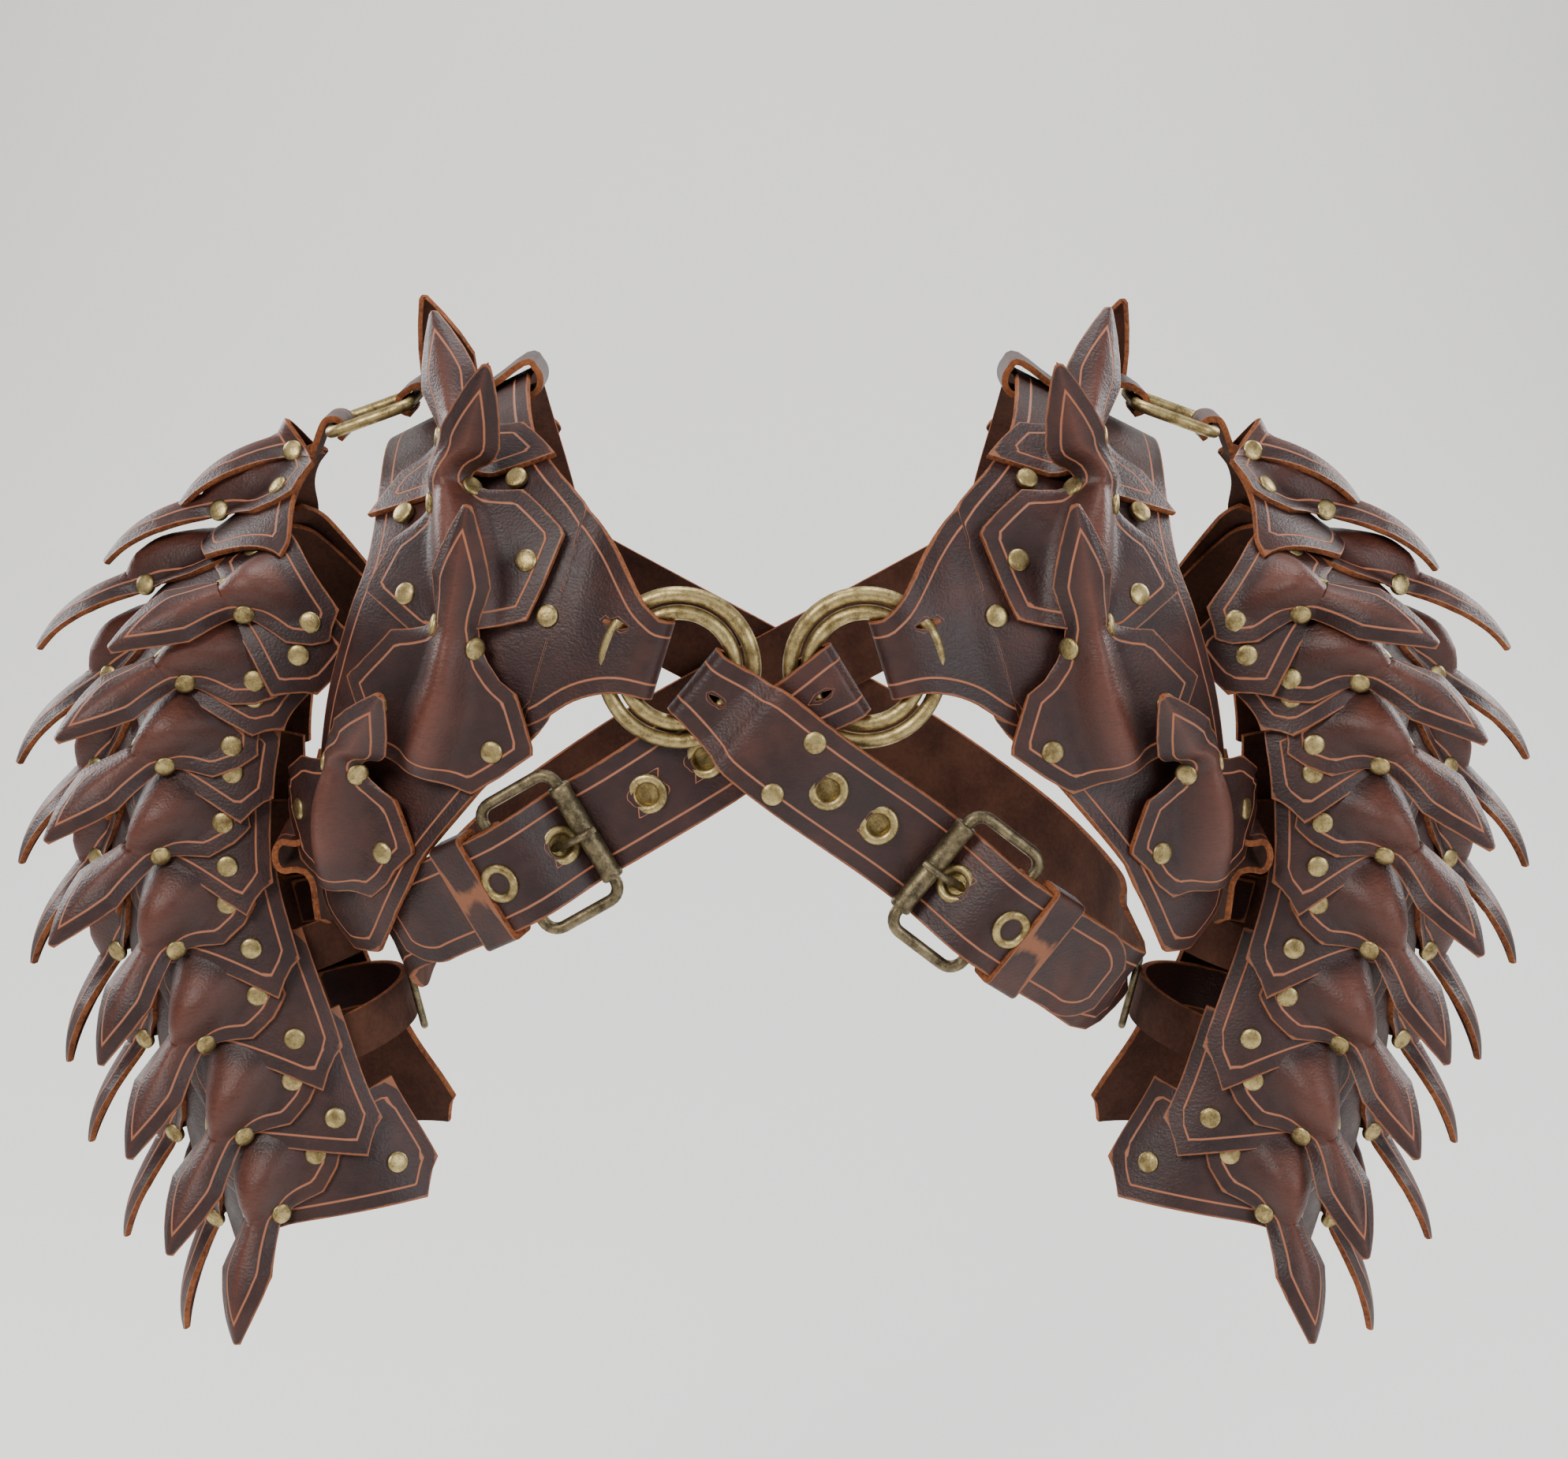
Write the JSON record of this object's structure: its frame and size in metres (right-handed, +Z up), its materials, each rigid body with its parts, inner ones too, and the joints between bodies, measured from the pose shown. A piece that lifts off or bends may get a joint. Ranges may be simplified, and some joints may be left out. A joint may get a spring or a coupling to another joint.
{
  "type": "leather pauldrons on a chest harness",
  "caption": "Pair of leather shoulder guards with raised spiked scales, joined by ring-and-buckle straps across the chest.",
  "frame": {"origin": "middle of the line between the two shoulder tops, where the harness sits on the wearer", "axes": "+X to the wearer's left across the shoulders, -Y to the front of the chest, +Z up"},
  "size_m": [0.6416, 0.2608, 0.4441],
  "materials": {
    "plate_leather": "semi-gloss red-brown",
    "strap_leather": "semi-gloss red-brown",
    "brass": "antique",
    "dark_brass": "blackened antique"
  },
  "bodies": {
    "root": {"arm_lame_1_l": "plate_leather", "arm_lame_1_r": "plate_leather", "arm_lame_2_l": "plate_leather", "arm_lame_2_r": "plate_leather", "arm_lame_3_l": "plate_leather", "arm_lame_3_r": "plate_leather", "arm_lame_4_l": "plate_leather", "arm_lame_4_r": "plate_leather", "arm_lame_5_l": "plate_leather", "arm_lame_5_r": "plate_leather", "arm_lame_6_l": "plate_leather", "arm_lame_6_r": "plate_leather", "arm_lame_7_l": "plate_leather", "arm_lame_7_r": "plate_leather", "arm_lame_8_l": "plate_leather", "arm_lame_8_r": "plate_leather", "arm_strap_buckle_l": "dark_brass", "arm_strap_buckle_r": "dark_brass", "arm_strap_lower_l": "strap_leather", "arm_strap_lower_r": "strap_leather", "arm_strap_upper_l": "strap_leather", "arm_strap_upper_r": "strap_leather", "back_scale_l": "plate_leather", "back_scale_r": "plate_leather", "buckle_frame_l": "dark_brass", "buckle_frame_r": "dark_brass", "buckle_prong_l": "dark_brass", "buckle_prong_r": "dark_brass", "buckle_roller_l": "dark_brass", "buckle_roller_r": "dark_brass", "chest_panel_l": "plate_leather", "chest_panel_r": "plate_leather", "chest_scale_1_l": "plate_leather", "chest_scale_1_r": "plate_leather", "chest_scale_2_l": "plate_leather", "chest_scale_2_r": "plate_leather", "chest_scale_3_l": "plate_leather", "chest_scale_3_r": "plate_leather", "chest_scale_4_l": "plate_leather", "chest_scale_4_r": "plate_leather", "chest_scale_5_l": "plate_leather", "chest_scale_5_r": "plate_leather", "cross_strap_l": "strap_leather", "cross_strap_r": "strap_leather", "ring_inner_l": "brass", "ring_inner_r": "brass", "ring_outer_l": "brass", "ring_outer_r": "brass", "shoulder_buckle_l": "brass", "shoulder_buckle_r": "brass", "shoulder_cap_l": "plate_leather", "shoulder_cap_r": "plate_leather", "shoulder_strap_l": "strap_leather", "shoulder_strap_r": "strap_leather", "side_strap_l": "strap_leather", "side_strap_r": "strap_leather", "strap_keeper_l": "strap_leather", "strap_keeper_r": "strap_leather"}
  },
  "joints": []
}
